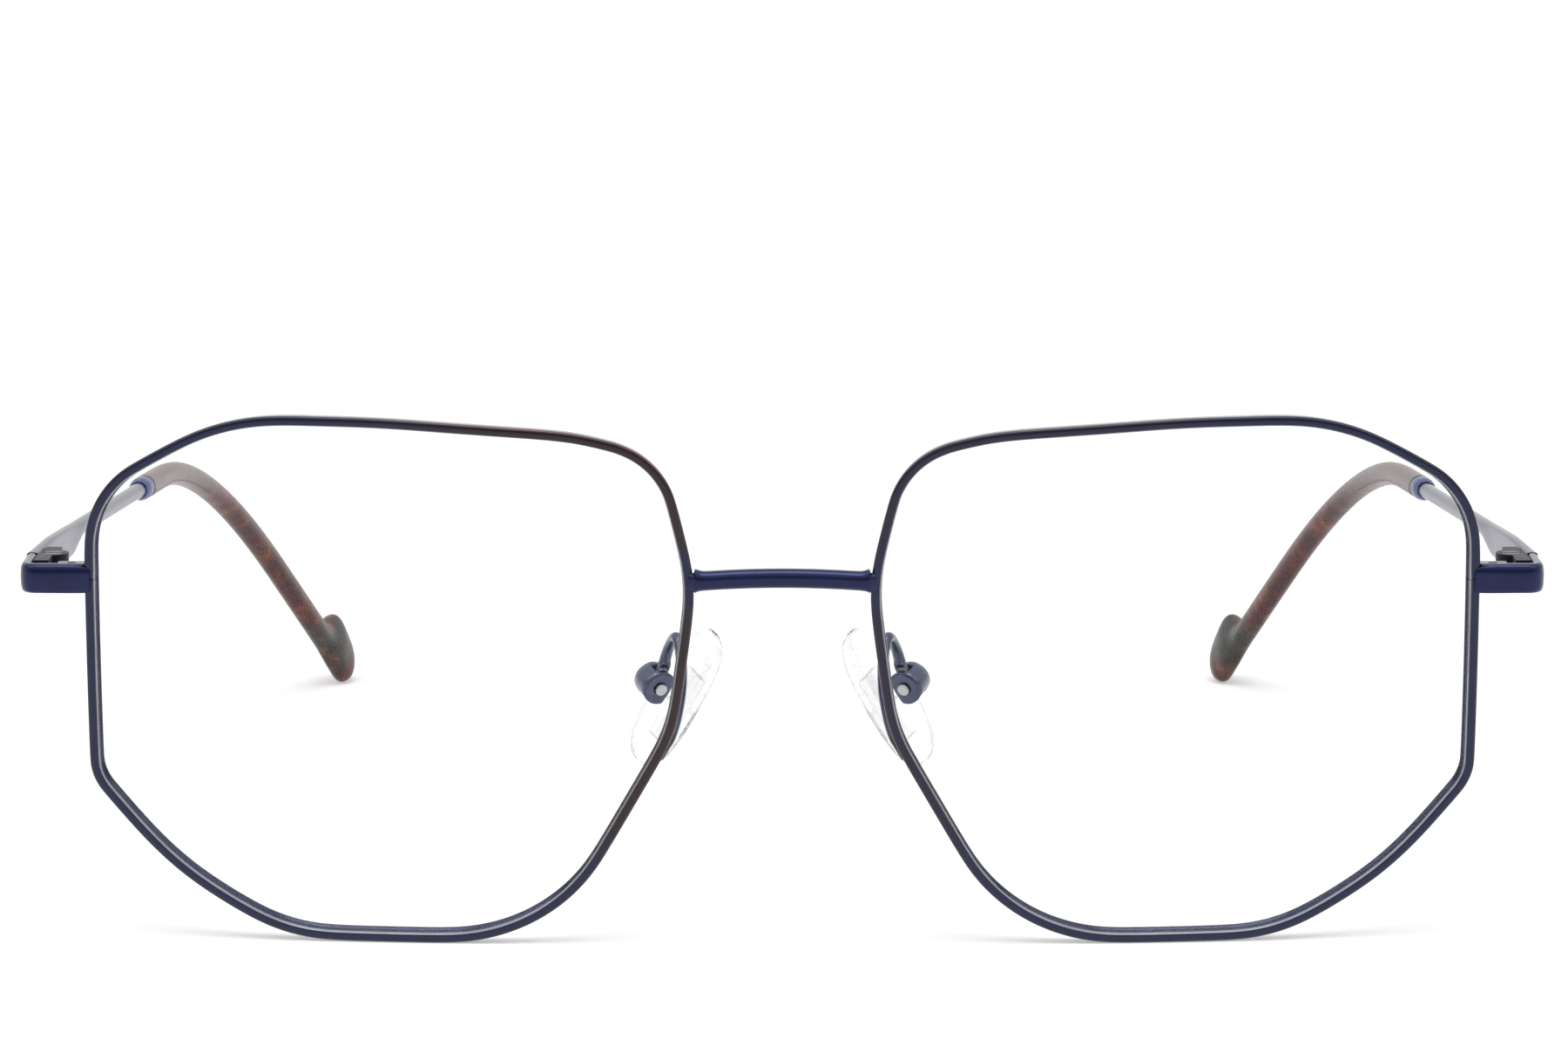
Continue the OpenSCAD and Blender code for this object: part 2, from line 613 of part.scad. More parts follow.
// Soft pad: an oval with a rounded edge, pocketed for its insert
pad_points = 28;
function pad_ring(x, k) =
    [for (j = [0:pad_points - 1])
        let (f = 360 * j / pad_points)
        [x, (pad_w / 2 - k) * squared(cos(f), 0.75), (pad_h / 2 - k) * squared(sin(f), 0.75)]];
insert_t = 0.7;
insert_w = 2.8;
insert_h = 7.4;
lug_r = 0.9;
// Middle of the insert, and of the lug with the pad screw
insert_at = [-0.1, -0.8, -0.6];
lug_y = -0.3;
lug_z = 0.7;
module nose_pad() {
    t = pad_t / 2;
    levels = [[-t, 2.4], [-t * 0.93, 1.3], [-t * 0.62, 0.4], [-t * 0.15, 0],
              [t * 0.4, 0.15], [t * 0.8, 0.7], [t, 1.6]];
    color(clear, 0.5) in_pad() difference() {
        polyhedron([for (l = levels) each pad_ring(l[0], l[1])],
            concat(skin(len(levels), pad_points, false), caps(len(levels), pad_points)));
        translate(insert_at)
            cube([insert_t + 0.1, insert_w + 0.1, insert_h + 0.1], center = true);
        translate([0, lug_y - lug_t / 2 - 0.05, lug_z - lug_r - 0.05])
            cube([3, lug_t + 0.1, 2 * lug_r + 0.1]);
    }
}
module pad_insert() {
    color(silver) in_pad() difference() {
        union() {
            translate(insert_at) cube([insert_t, insert_w, insert_h], center = true);
            translate([0, lug_y - lug_t / 2, lug_z - lug_r])
                cube([pad_pivot, lug_t, 2 * lug_r]);
            at_lug() cylinder(h = lug_t, r = lug_r, center = true, $fn = 48);
        }
        at_lug() cylinder(h = 4, r = pad_screw_r + pin_play, center = true, $fn = 32);
    }
}
// The pad screw's axis, z out of its head
module at_lug() {
    translate([pad_pivot, lug_y, lug_z]) rotate([90, 0, 0]) children();
}
module pad_box() {
    color(navy) in_pad() difference() {
        intersection() {
            at_lug() cylinder(h = box_l, r = box_r, center = true, $fn = 64);
            translate([pad_pivot - 1.1, lug_y - 3, -4]) cube([6, 6, 8]);
        }
        // slot for the lug
        translate([0, lug_y - lug_t / 2 - 0.06, -4])
            cube([pad_pivot + lug_r + 0.15, lug_t + 0.12, 8]);
        at_lug() cylinder(h = 6, r = pad_screw_r + pin_play, center = true, $fn = 32);
    }
}
module pad_screw() {
    color(silver) in_pad() at_lug() {
        translate([0, 0, -box_l / 2]) cylinder(h = box_l + 0.02, r = pad_screw_r, $fn = 32);
        translate([0, 0, box_l / 2 + 0.02]) cylinder(h = 0.3, r = 0.58, $fn = 32);
    }
}

// Wire arm: from its foot behind the rim up, over and down to the pad box
function from_pad(v) =
    let (x1 = v[0] * cos(pad_splay) + v[1] * sin(pad_splay),
         y1 = -v[0] * sin(pad_splay) + v[1] * cos(pad_splay),
         x2 = x1 * cos(pad_lean) - v[2] * sin(pad_lean),
         z2 = x1 * sin(pad_lean) + v[2] * cos(pad_lean))
    [pad_x + x2, pad_y + y1 * cos(tilt) - z2 * sin(tilt),
     pad_z + y1 * sin(tilt) + z2 * cos(tilt)];
// A point behind the rim's lower nose edge, t down from the knee
knee = [knee_w - half_w, knee_h - half_h];
knee_edge = unit([nose_cut_w - half_w, -half_h] - knee);
function on_foot(t) =
    let (p = knee + knee_edge * t)
    placed(on_dome(p[0], p[1], rim_d / 2)) + [0, arm_r + 0.05, 0];
foot = on_foot(1);
box_top = from_pad([pad_pivot, lug_y, lug_z + box_r]);
arm_route = [
    on_foot(3.4), on_foot(2.2), foot, foot + [-0.55, 0.1, 1.9], foot + [-0.95, 0.95, 4.5],
    foot + [-0.9, 2.2, 7.2], foot + [-0.48, 3.2, 8.7],
    box_top + [-0.58, -0.9, 2.35], box_top + [-0.12, 0, 0.9], box_top + [-0.08, 0, 0.26]];
function curve(p, i, t) =
    let (n = len(p) - 1, a = p[max(i - 1, 0)], b = p[i], c = p[i + 1], d = p[min(i + 2, n)])
    b + (c - a) * t / 2 + (2 * a - 5 * b + 4 * c - d) * t * t / 2
      + (3 * b - a - 3 * c + d) * t * t * t / 2;
arm_line = concat([for (i = [0:len(arm_route) - 2], k = [0:2]) curve(arm_route, i, k / 3)],
    [arm_route[len(arm_route) - 1]]);
function arm_dir(i) = unit(arm_line[min(i + 1, len(arm_line) - 1)] - arm_line[max(i - 1, 0)]);
module pad_arm() {
    n = len(arm_line);
    color(navy) polyhedron([for (i = [0:n - 1])
        let (d = arm_dir(i), a = unit(cross(d, [1, 0.3, 0])), b = cross(d, a),
             r = arm_r * (1 + 0.2 * smooth((i - n + 5) / 4)))
        for (k = [0:9]) arm_line[i] + r * (a * cos(36 * k) + b * sin(36 * k))],
        concat(skin(n, 10, false), caps(n, 10)), convexity = 4);
}

bridge();
on_side(false) rim();  // right_rim
on_side(true) rim();  // left_rim
on_side(false) lens();  // right_lens
on_side(true) lens();  // left_lens
on_side(false) endpiece();  // right_endpiece
on_side(true) endpiece();  // left_endpiece
on_side(false) rim_lock_upper();  // right_rim_lock_upper
on_side(true) rim_lock_upper();  // left_rim_lock_upper
on_side(false) rim_lock_lower();  // right_rim_lock_lower
on_side(true) rim_lock_lower();  // left_rim_lock_lower
on_side(false) rim_lock_screw();  // right_rim_lock_screw
on_side(true) rim_lock_screw();  // left_rim_lock_screw
on_side(false) hinge_front();  // right_hinge_front
on_side(true) hinge_front();  // left_hinge_front
on_side(false) hinge_screw();  // right_hinge_screw
on_side(true) hinge_screw();  // left_hinge_screw
on_side(false) pad_arm();  // right_pad_arm
on_side(true) pad_arm();  // left_pad_arm
on_side(false) pad_box();  // right_pad_box
on_side(true) pad_box();  // left_pad_box
on_side(false) pad_screw();  // right_pad_screw
on_side(true) pad_screw();  // left_pad_screw
on_side(false) nose_pad();  // right_nose_pad
on_side(true) nose_pad();  // left_nose_pad
on_side(false) pad_insert();  // right_pad_insert
on_side(true) pad_insert();  // left_pad_insert
on_side(false) hinge_temple();  // right_hinge_temple
on_side(true) hinge_temple();  // left_hinge_temple
on_side(false) temple();  // right_temple
on_side(true) temple();  // left_temple
on_side(false) collar();  // right_collar
on_side(true) collar();  // left_collar
on_side(false) tip();  // right_tip
on_side(true) tip();  // left_tip
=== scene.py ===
# %% [markdown]
# # Many-sided metal eyeglasses on a white table
#
# The real object is a pair of metal eyeglasses with large, many-sided rims. They stand open
# on a table, lenses to the viewer, on the rims' lower edges and the ends of the ear tips.
#
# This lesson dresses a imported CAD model, the frame, in Blender. The CAD model already has
# every piece in its true place, so the work here is what an enameller and a polisher do:
# round the edges, lay on the paint, and put the piece in good light.

# %% Load the frame
import json
import math

import bmesh
import bpy
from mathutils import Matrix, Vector
from mathutils.kdtree import KDTree

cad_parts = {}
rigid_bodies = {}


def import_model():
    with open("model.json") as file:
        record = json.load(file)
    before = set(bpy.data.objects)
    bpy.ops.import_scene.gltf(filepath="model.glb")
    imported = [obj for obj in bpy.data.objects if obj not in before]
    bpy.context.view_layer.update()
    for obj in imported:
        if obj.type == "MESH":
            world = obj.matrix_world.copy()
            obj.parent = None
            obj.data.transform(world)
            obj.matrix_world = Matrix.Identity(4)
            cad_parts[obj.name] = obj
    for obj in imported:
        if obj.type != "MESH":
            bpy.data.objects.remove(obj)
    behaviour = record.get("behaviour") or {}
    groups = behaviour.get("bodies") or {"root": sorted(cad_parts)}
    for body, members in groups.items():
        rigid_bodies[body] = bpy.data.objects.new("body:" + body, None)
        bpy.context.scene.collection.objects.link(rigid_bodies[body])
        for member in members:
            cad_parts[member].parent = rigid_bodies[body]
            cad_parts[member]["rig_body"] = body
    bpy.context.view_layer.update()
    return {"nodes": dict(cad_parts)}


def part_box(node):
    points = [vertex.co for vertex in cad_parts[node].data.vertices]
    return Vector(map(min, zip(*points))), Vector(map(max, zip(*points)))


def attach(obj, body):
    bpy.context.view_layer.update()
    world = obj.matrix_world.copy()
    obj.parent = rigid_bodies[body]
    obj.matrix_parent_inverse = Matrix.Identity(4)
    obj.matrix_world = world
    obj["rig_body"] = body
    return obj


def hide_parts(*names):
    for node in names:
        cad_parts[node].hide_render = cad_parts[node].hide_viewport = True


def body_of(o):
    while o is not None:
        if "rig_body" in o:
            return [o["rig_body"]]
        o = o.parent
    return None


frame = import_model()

MM = 0.001
SIDES = ("right", "left")    # the wearer's sides: right is -X
print("nodes in the frame:", len(frame["nodes"]))

# %% [markdown]
# ## Camera
#
# The photograph was taken with a long lens from about 65 cm, a little above the glasses. A
# camera stands wherever the lines of sight say, so its place and tilt come first. What is
# left is framing, and for that a very small sideways shift of the picture is enough.

# %% Place the camera
CAMERA_BACK = 0.64904       # metres from the middle of the glasses
CAMERA_HEIGHT = 0.1396
LOOKS_DOWN = 9.655          # degrees
SENSOR_WIDTH = 36           # mm, as is the focal length
FOCAL_LENGTH = 148.44
SIDEWAYS_SHIFT = 0.0011     # of the picture's width

camera = bpy.data.objects.new("camera", bpy.data.cameras.new("camera"))
camera.location = (0, -CAMERA_BACK, CAMERA_HEIGHT)
camera.rotation_euler = (math.radians(90 - LOOKS_DOWN), 0, 0)
camera.data.sensor_width = SENSOR_WIDTH
camera.data.lens = FOCAL_LENGTH
camera.data.shift_x = SIDEWAYS_SHIFT
camera.data.clip_start = 0.01
camera.data.clip_end = 100
bpy.context.scene.collection.objects.link(camera)
bpy.context.scene.camera = camera
print("camera looks down by", round(90 - math.degrees(camera.rotation_euler.x), 2), "degrees")

# %% [markdown]
# ## Materials: how the finishes are written
#
# Each finish is a small tree of nodes on one Principled shader. Patterns read Object
# coordinates, so they stay put when a temple folds. A few helpers keep the trees short.
# The first ones start a finish, find a point's place on its piece, and add a noise there.

# %% Start a finish, and lay a pattern on it
def start_finish(name, **sockets):
    """A new material with one Principled shader, whose plain sockets are set here."""
    finish = bpy.data.materials.new(name)
    finish.use_nodes = True
    shader = finish.node_tree.nodes["Principled BSDF"]
    for socket, value in sockets.items():
        shader.inputs[socket.replace("_", " ")].default_value = value
    return finish, finish.node_tree.nodes, finish.node_tree.links, shader


def add_place(nodes, links):
    """The outputs X, Y and Z of a point's place on its piece, in metres."""
    split = nodes.new("ShaderNodeSeparateXYZ")
    links.new(nodes.new("ShaderNodeTexCoord").outputs["Object"], split.inputs["Vector"])
    return split.outputs


def add_noise(nodes, links, per_mm, detail=2.0, stretch=(1, 1, 1)):
    """A noise with about per_mm blobs in each millimetre, laid on Object coordinates."""
    place = nodes.new("ShaderNodeTexCoord")
    mapping = nodes.new("ShaderNodeMapping")
    noise = nodes.new("ShaderNodeTexNoise")
    mapping.inputs["Scale"].default_value = stretch
    noise.inputs["Scale"].default_value = per_mm / MM
    noise.inputs["Detail"].default_value = detail
    links.new(place.outputs["Object"], mapping.inputs["Vector"])
    links.new(mapping.outputs["Vector"], noise.inputs["Vector"])
    return noise.outputs["Fac"]


print("helpers for a finish and its patterns are ready")

# %% [markdown]
# ## Colours, roughness and bump from a pattern
#
# A noise is only a number from 0 to 1. A colour ramp turns it into colours, a Map Range
# into a roughness, and a Bump into small heights that the light reads as relief.

# %% Use a pattern
def ramp(nodes, links, source, *stops):
    """Colours for the values of source: stops are (value, (red, green, blue))."""
    node = nodes.new("ShaderNodeValToRGB")
    steps = node.color_ramp.elements
    while len(steps) < len(stops):
        steps.new(0.5)
    for step, (at, colour) in zip(steps, stops):
        step.position = at
        step.color = (*colour, 1)
    links.new(source, node.inputs["Fac"])
    return node.outputs["Color"]


def mix_colours(nodes, links, factor, first, second, blend="MIX"):
    """first where factor is 0, second where it is 1; each is a value or a node's output."""
    node = nodes.new("ShaderNodeMix")
    node.data_type = "RGBA"
    node.blend_type = blend
    sockets = (node.inputs[0], node.inputs[6], node.inputs[7])
    for socket, value in zip(sockets, (factor, first, second)):
        if isinstance(value, bpy.types.NodeSocket):
            links.new(value, socket)
        elif isinstance(value, tuple):
            socket.default_value = (*value, 1)
        else:
            socket.default_value = value
    return node.outputs[2]


def vary_roughness(nodes, links, shader, pattern, low, high):
    """Lets a pattern move the roughness between low and high."""
    rough = nodes.new("ShaderNodeMapRange")
    rough.inputs["To Min"].default_value = low
    rough.inputs["To Max"].default_value = high
    links.new(pattern, rough.inputs["Value"])
    links.new(rough.outputs["Result"], shader.inputs["Roughness"])


def add_bump(nodes, links, shader, height, depth_mm, strength):
    """Lets a height pattern raise the surface by up to depth_mm."""
    bump = nodes.new("ShaderNodeBump")
    bump.inputs["Distance"].default_value = depth_mm * MM
    bump.inputs["Strength"].default_value = strength
    links.new(height, bump.inputs["Height"])
    links.new(bump.outputs["Normal"], shader.inputs["Normal"])


print("helpers for colours, roughness and bump are ready")

# %% [markdown]
# ## Navy lacquer over metal
#
# The bridge, endpieces and temples are metal with a thin navy lacquer. Light goes through
# the colour, meets the metal and comes back deep blue, so the base is metallic. The
# lacquer's own surface mirrors white light, most of all at a flat angle, so a coat lies on
# top: it is what turns the temples' sides silver. The coat's index is low, because a higher
# one mirrors the white table on the front faces too and greys them. Real lacquer isn't
# even: it pools a little, and has a fine orange-peel. A slow noise moves the colour, and a
# fine one the roughness and the bump.

# %% Navy lacquer
SATIN_COAT = {"Coat_Roughness": 0.16, "Coat_IOR": 1.35}
PEEL_PER_MM = 9


def make_lacquer(name, deep, lit, metallic=0.85, roughness=0.35, coat=1.0):
    """Tinted satin lacquer: colour drifts between deep and lit."""
    finish, nodes, links, shader = start_finish(
        name, Metallic=metallic, Roughness=roughness, Coat_Weight=coat, **SATIN_COAT)
    pooling = add_noise(nodes, links, 0.35, 3)
    links.new(ramp(nodes, links, pooling, (0.3, deep), (0.7, lit)), shader.inputs["Base Color"])
    peel = add_noise(nodes, links, PEEL_PER_MM)
    vary_roughness(nodes, links, shader, peel, roughness - 0.05, roughness + 0.07)
    add_bump(nodes, links, shader, peel, 0.004, 0.5)
    return finish


navy = make_lacquer("navy_lacquer", (0.002, 0.006, 0.05), (0.006, 0.012, 0.07), coat=0.8)
bright_blue = make_lacquer("bright_blue_lacquer", (0.03, 0.055, 0.17), (0.05, 0.085, 0.24),
                           metallic=0.5, roughness=0.4, coat=0.4)
wire_grey = make_lacquer("thin_navy_lacquer", (0.045, 0.055, 0.1), (0.07, 0.08, 0.14),
                         metallic=0.9, roughness=0.3)
hinge_black = make_lacquer("blackened_hinge", (0.008, 0.01, 0.022), (0.02, 0.022, 0.035),
                           metallic=0.6, roughness=0.5, coat=0.1)
print("lacquers:", navy.name, bright_blue.name, wire_grey.name, hinge_black.name)

# %% [markdown]
# ## Two-tone lacquer of the rims
#
# The rims are sprayed twice: navy all round, then brown over the brow and the nose side,
# fading out before the temples, the bottom and the bridge's joint. The spray came from the
# wearer's right, so the left rim has less of the brown. The edges of such a spray could be
# painted by hand, but a few soft steps along X and Z say the same thing and stay editable.

# %% Where the brown spray lies
def add_fade(nodes, links, value, start, end):
    """0 where value is start, 1 where it is end, with a smooth passage."""
    fade = nodes.new("ShaderNodeMapRange")
    fade.interpolation_type = "SMOOTHSTEP"
    fade.inputs["From Min"].default_value = start
    fade.inputs["From Max"].default_value = end
    links.new(value, fade.inputs["Value"])
    return fade.outputs["Result"]


def add_math(nodes, links, operation, first, second=None):
    """One sum on two numbers or node outputs."""
    node = nodes.new("ShaderNodeMath")
    node.operation = operation
    for socket, value in zip(node.inputs, (first, second)):
        if isinstance(value, (int, float)):
            socket.default_value = value
        elif value is not None:
            links.new(value, socket)
    return node.outputs[0]


BRIDGE_HEIGHT = 35.2 * MM
THIN_SPRAY = 0.4      # the share of brown that is left on the left rim


def add_brown_share(nodes, links):
    """1 where the brown spray covers the navy: on the brow and nose side, off the bridge."""
    place = add_place(nodes, links)
    from_middle = add_math(nodes, links, "ABSOLUTE", place["X"])
    above_bridge = add_math(nodes, links, "SUBTRACT", place["Z"], BRIDGE_HEIGHT)
    from_bridge = add_math(nodes, links, "ABSOLUTE", above_bridge)
    off_temple = add_fade(nodes, links, from_middle, 46 * MM, 20 * MM)
    off_bottom = add_fade(nodes, links, place["Z"], 5 * MM, 14 * MM)
    off_bridge = add_fade(nodes, links, from_bridge, 1.5 * MM, 4.5 * MM)
    share = add_math(nodes, links, "MULTIPLY", off_temple, off_bottom)
    share = add_math(nodes, links, "MULTIPLY", share, off_bridge)
    right_side = add_fade(nodes, links, place["X"], 12 * MM, -6 * MM)
    extra = add_math(nodes, links, "MULTIPLY", right_side, 1 - THIN_SPRAY)
    return add_math(nodes, links, "MULTIPLY", share,
                    add_math(nodes, links, "ADD", extra, THIN_SPRAY))


print("brown keeps off the bridge at", round(BRIDGE_HEIGHT / MM, 1), "mm")

# %% [markdown]
# The outer walls of the rims are lighter, and the inner walls, next to the lens, get a pale
# grey painted highlight. A number on each vertex, outward, says how far it faces away from
# the lens, and two ramps on it, one for each spray, give the tones. The pad arms are plain
# lacquer with a foot of the rims' brown, where they are soldered on.

# %% Two-tone lacquer and the pad arms' lacquer
RIM_NAVY = (0.008, 0.012, 0.045)
RIM_BROWN = (0.02, 0.011, 0.014)


def make_rim_lacquer():
    """Navy and brown sprays: painted highlight by the lens, painted shade in the groove, lighter
    outside.
    """
    finish, nodes, links, shader = start_finish(
        "two_tone_lacquer_painted_light", Metallic=0.8, Roughness=0.35, Coat_Weight=1.0, **SATIN_COAT)
    outward = nodes.new("ShaderNodeAttribute")
    outward.attribute_name = "outward"
    # At 0, next to the lens, the pale greys are a painted highlight; a half, as behind the
    # groove, gives painted shade in the navy or brown.
    navy_tones = ramp(nodes, links, outward.outputs["Fac"],
                      (0.0, (0.36, 0.37, 0.4)), (0.15, (0.22, 0.22, 0.26)),
                      (0.27, RIM_NAVY), (0.66, RIM_NAVY),
                      (0.84, (0.025, 0.022, 0.045)), (1.0, (0.06, 0.05, 0.06)))
    brown_tones = ramp(nodes, links, outward.outputs["Fac"],
                       (0.0, (0.3, 0.27, 0.27)), (0.15, (0.16, 0.13, 0.13)),
                       (0.27, RIM_BROWN), (0.62, RIM_BROWN),
                       (0.84, (0.075, 0.04, 0.036)), (1.0, (0.14, 0.08, 0.07)))
    tones = mix_colours(nodes, links, add_brown_share(nodes, links), navy_tones, brown_tones)
    wear = add_noise(nodes, links, 0.5, 4)
    worn = mix_colours(nodes, links, wear, (0.75, 0.75, 0.78), (1.25, 1.22, 1.2))
    links.new(mix_colours(nodes, links, 1.0, tones, worn, "MULTIPLY"),
              shader.inputs["Base Color"])
    add_bump(nodes, links, shader, add_noise(nodes, links, PEEL_PER_MM), 0.002, 0.3)
    return finish


def make_arm_lacquer():
    """The pad arms' grey navy, with the rims' brown where their feet are soldered on."""
    finish = make_lacquer("arm_lacquer", (0.04, 0.05, 0.09), (0.06, 0.07, 0.13),
                          metallic=0.9, roughness=0.3)
    nodes, links = finish.node_tree.nodes, finish.node_tree.links
    base = nodes["Principled BSDF"].inputs["Base Color"]
    foot = add_fade(nodes, links, add_place(nodes, links)["Z"], 21 * MM, 19 * MM)
    links.new(mix_colours(nodes, links, foot, base.links[0].from_socket, RIM_BROWN), base)
    return finish


rim_lacquer = make_rim_lacquer()
arm_lacquer = make_arm_lacquer()
print("rim and arm finishes:", rim_lacquer.name, arm_lacquer.name)

# %% [markdown]
# ## Tortoise plastic
#
# The ear tips are cellulose acetate, sliced from a block in which brown, amber and dark
# chips were pressed together. Its chips are lens-shaped blots with soft edges, so one noise
# makes the amber patches and another the dark specks. The block isn't the same all along:
# the blade is grey-green and its very end red again, and fades on the height mix those in.
# Near the collar a pale tone is mixed into the stem: a painted sheen, the shine of the
# polished stem there. A faint clear coat gives the satin polish.

# %% Tortoise plastic
# The stem's pale tone near the collar is a painted sheen.
PAINTED_SHEEN_SHARE = 0.6      # how much of the pale tone the stem has at the collar


def make_tortoise():
    """Red-brown stem with dark specks, grey-green blade, a pale painted sheen near the collar.
    """
    finish, nodes, links, shader = start_finish(
        "tortoise_acetate", Roughness=0.3, Specular_IOR_Level=0.22, Coat_Weight=0.06,
        Coat_Roughness=0.08, Subsurface_Weight=0.08, Subsurface_Scale=0.0006)
    shader.inputs["Subsurface Radius"].default_value = (1, 0.5, 0.3)
    chips = add_noise(nodes, links, 0.4)
    body = ramp(nodes, links, chips, (0.36, (0.045, 0.011, 0.014)), (0.5, (0.095, 0.016, 0.016)),
                (0.6, (0.13, 0.034, 0.02)), (0.7, (0.21, 0.07, 0.025)))
    specks = add_noise(nodes, links, 1.1)
    dark = ramp(nodes, links, specks, (0.6, (0, 0, 0)), (0.68, (1, 1, 1)))
    stem = mix_colours(nodes, links, dark, body, (0.045, 0.014, 0.016))
    blade = ramp(nodes, links, chips, (0.36, (0.03, 0.03, 0.03)), (0.5, (0.05, 0.048, 0.04)),
                 (0.6, (0.085, 0.05, 0.045)), (0.7, (0.2, 0.11, 0.05)))
    height = add_place(nodes, links)["Z"]
    below_stem = add_fade(nodes, links, height, 9 * MM, 6 * MM)
    above_end = add_fade(nodes, links, height, 0.5 * MM, 4 * MM)
    in_blade = add_math(nodes, links, "MULTIPLY", below_stem, above_end)
    # Painted sheen: a pale tone that the stem takes near the collar
    painted_sheen_near_collar = add_math(nodes, links, "MULTIPLY", PAINTED_SHEEN_SHARE,
                           add_fade(nodes, links, height, 24 * MM, 31 * MM))
    stem = mix_colours(nodes, links, painted_sheen_near_collar, stem, (0.22, 0.19, 0.19))
    links.new(mix_colours(nodes, links, in_blade, stem, blade), shader.inputs["Base Color"])
    add_bump(nodes, links, shader, add_noise(nodes, links, 2.5), 0.002, 0.3)
    return finish


tortoise = make_tortoise()
print("tip finish:", tortoise.name)

# %% [markdown]
# ## Clear finishes
#
# The lenses are clear plastic with nothing ground into them. Such a thin, even lens bends
# hardly any light, so its base has an index of 1, which lets light go straight on, and a
# coat gives it the gloss. A low alpha keeps that gloss faint. The nose pads are soft
# silicone round a harder insert. Their index is set near 1 too, so that the wire and the
# table behind them show as they are, and a darker colour where the surface turns away is
# painted shade: it stands in for the dark edge that bent light draws on a thick clear thing.
# Clear things still get a faint unevenness, because a flawless surface looks like nothing.

# %% Clear lens, silicone and insert
def make_clear(name, ior, alpha, coat, bump_mm, roughness=0.05, gloss=0.02,
               painted_edge_shade=None, broad=0.35):
    """Clear plastic. Where it turns away, past broad, it shows a painted shade of the given edge
    colour.
    """
    finish, nodes, links, shader = start_finish(
        name, Roughness=roughness, IOR=ior, Alpha=alpha, Base_Color=(1, 1, 1, 1),
        Transmission_Weight=1.0, Coat_Weight=coat, Coat_Roughness=gloss)
    add_bump(nodes, links, shader, add_noise(nodes, links, 0.6), bump_mm, 0.3)
    if painted_edge_shade:
        # Painted shade: darker where the surface turns away, for the dark edge of a thick clear
        # thing
        turned_away = nodes.new("ShaderNodeLayerWeight")
        turned_away.inputs["Blend"].default_value = 0.3
        links.new(ramp(nodes, links, turned_away.outputs["Facing"],
                       (broad, (0.995, 0.995, 0.995)), (0.9, painted_edge_shade)),
                  shader.inputs["Base Color"])
    return finish


clear_lens = make_clear("clear_lens", 1.0, 0.15, 1.0, 0.0004, roughness=0.0)
# The silicone's grey and the insert's near-black edge colours are painted shade.
clear_silicone = make_clear("clear_silicone", 1.03, 0.9, 0.3, 0.0006, gloss=0.25,
                            painted_edge_shade=(0.6, 0.61, 0.62), broad=0.2)
clear_insert = make_clear("clear_insert", 1.02, 0.9, 0.0, 0.0006,
                          painted_edge_shade=(0.1, 0.11, 0.12), broad=0.15)
print("clear finishes:", clear_lens.name, clear_silicone.name, clear_insert.name)

# %% [markdown]
# ## Steel
#
# Screws are turned on a lathe, which leaves fine rings round their axis. The hinge and lock
# screws stand upright, so a noise that is pressed flat along Z stands for those rings, in
# the roughness and in the bump, and the tiny pad screws share it. The hinge screws are
# blackened: the same finish in a darker tone.

# %% Steel
def make_steel(name, tone, metallic):
    """Turned steel, with a noise that is finer along Z than across it."""
    finish, nodes, links, shader = start_finish(
        name, Base_Color=(*tone, 1), Metallic=metallic, Roughness=0.26)
    turned = add_noise(nodes, links, 5, 3, (1, 1, 6))
    vary_roughness(nodes, links, shader, turned, 0.18, 0.36)
    add_bump(nodes, links, shader, turned, 0.004, 0.5)
    return finish


steel = make_steel("screw_steel", (0.45, 0.46, 0.48), 1.0)
dark_steel = make_steel("blackened_screw_steel", (0.035, 0.036, 0.05), 0.7)
print("steels:", steel.name, dark_steel.name)

# %% [markdown]
# ## Rounding the pieces
#
# The CAD pieces have the right forms, with sharp edges and flat faces. Metal that has been
# tumbled and lacquered has no sharp edges, and each edge catches a thin line of light. So
# each piece is copied, its loose triangles are merged, and the finished copy takes the
# place of the CAD node and rides on the same body.

# %% Copy and finish a piece
SAME_POINT = 0.0005 * MM     # vertices closer than this are one


def merged_copy(node):
    """A bmesh of the CAD node's shape, its loose triangles joined up."""
    shape = bmesh.new()
    shape.from_mesh(frame["nodes"][node].data)
    bmesh.ops.remove_doubles(shape, verts=shape.verts, dist=SAME_POINT)
    return shape


def finish_piece(shape, node, finish, sharp_above=None):
    """Makes the object that stands for a CAD node, and lets it ride on the node's body."""
    mesh = bpy.data.meshes.new(node + "_dressed")
    shape.to_mesh(mesh)
    shape.free()
    mesh.polygons.foreach_set("use_smooth", [True] * len(mesh.polygons))
    if sharp_above is not None:
        mesh.set_sharp_from_angle(angle=math.radians(sharp_above))
    mesh.materials.append(finish)
    piece = bpy.data.objects.new(node + "_dressed", mesh)
    bpy.context.scene.collection.objects.link(piece)
    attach(piece, body_of(frame["nodes"][node])[0])
    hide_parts(node)
    return piece


print("helpers that copy and finish a piece are ready")

# %% [markdown]
# Swept pieces, such as rims and tips, get a subdivision surface, which makes their rings
# flow. It works best on four-sided faces, so the triangles are paired up first, and the
# edges that should stay crisp are creased.

# %% Swept pieces
FLOW_LEVELS = 2
BAR_RIDGE = 50        # degrees: a sharper ridge on a bar breaks its smooth shading
KEEN_CORNER = 75      # degrees: the corners that rims and collars keep


def into_quads(shape):
    """Pairs up triangles that together make a four-sided face."""
    bmesh.ops.join_triangles(shape, faces=shape.faces, angle_face_threshold=math.radians(50),
                             angle_shape_threshold=math.radians(60))


def keep_corners(shape, angle=60, crease=0.9):
    """Marks the edges that the subdivision surface may round only a little."""
    mark = shape.edges.layers.float.new("crease_edge")
    for edge in shape.edges:
        if edge.is_manifold and edge.calc_face_angle() > math.radians(angle):
            edge[mark] = crease


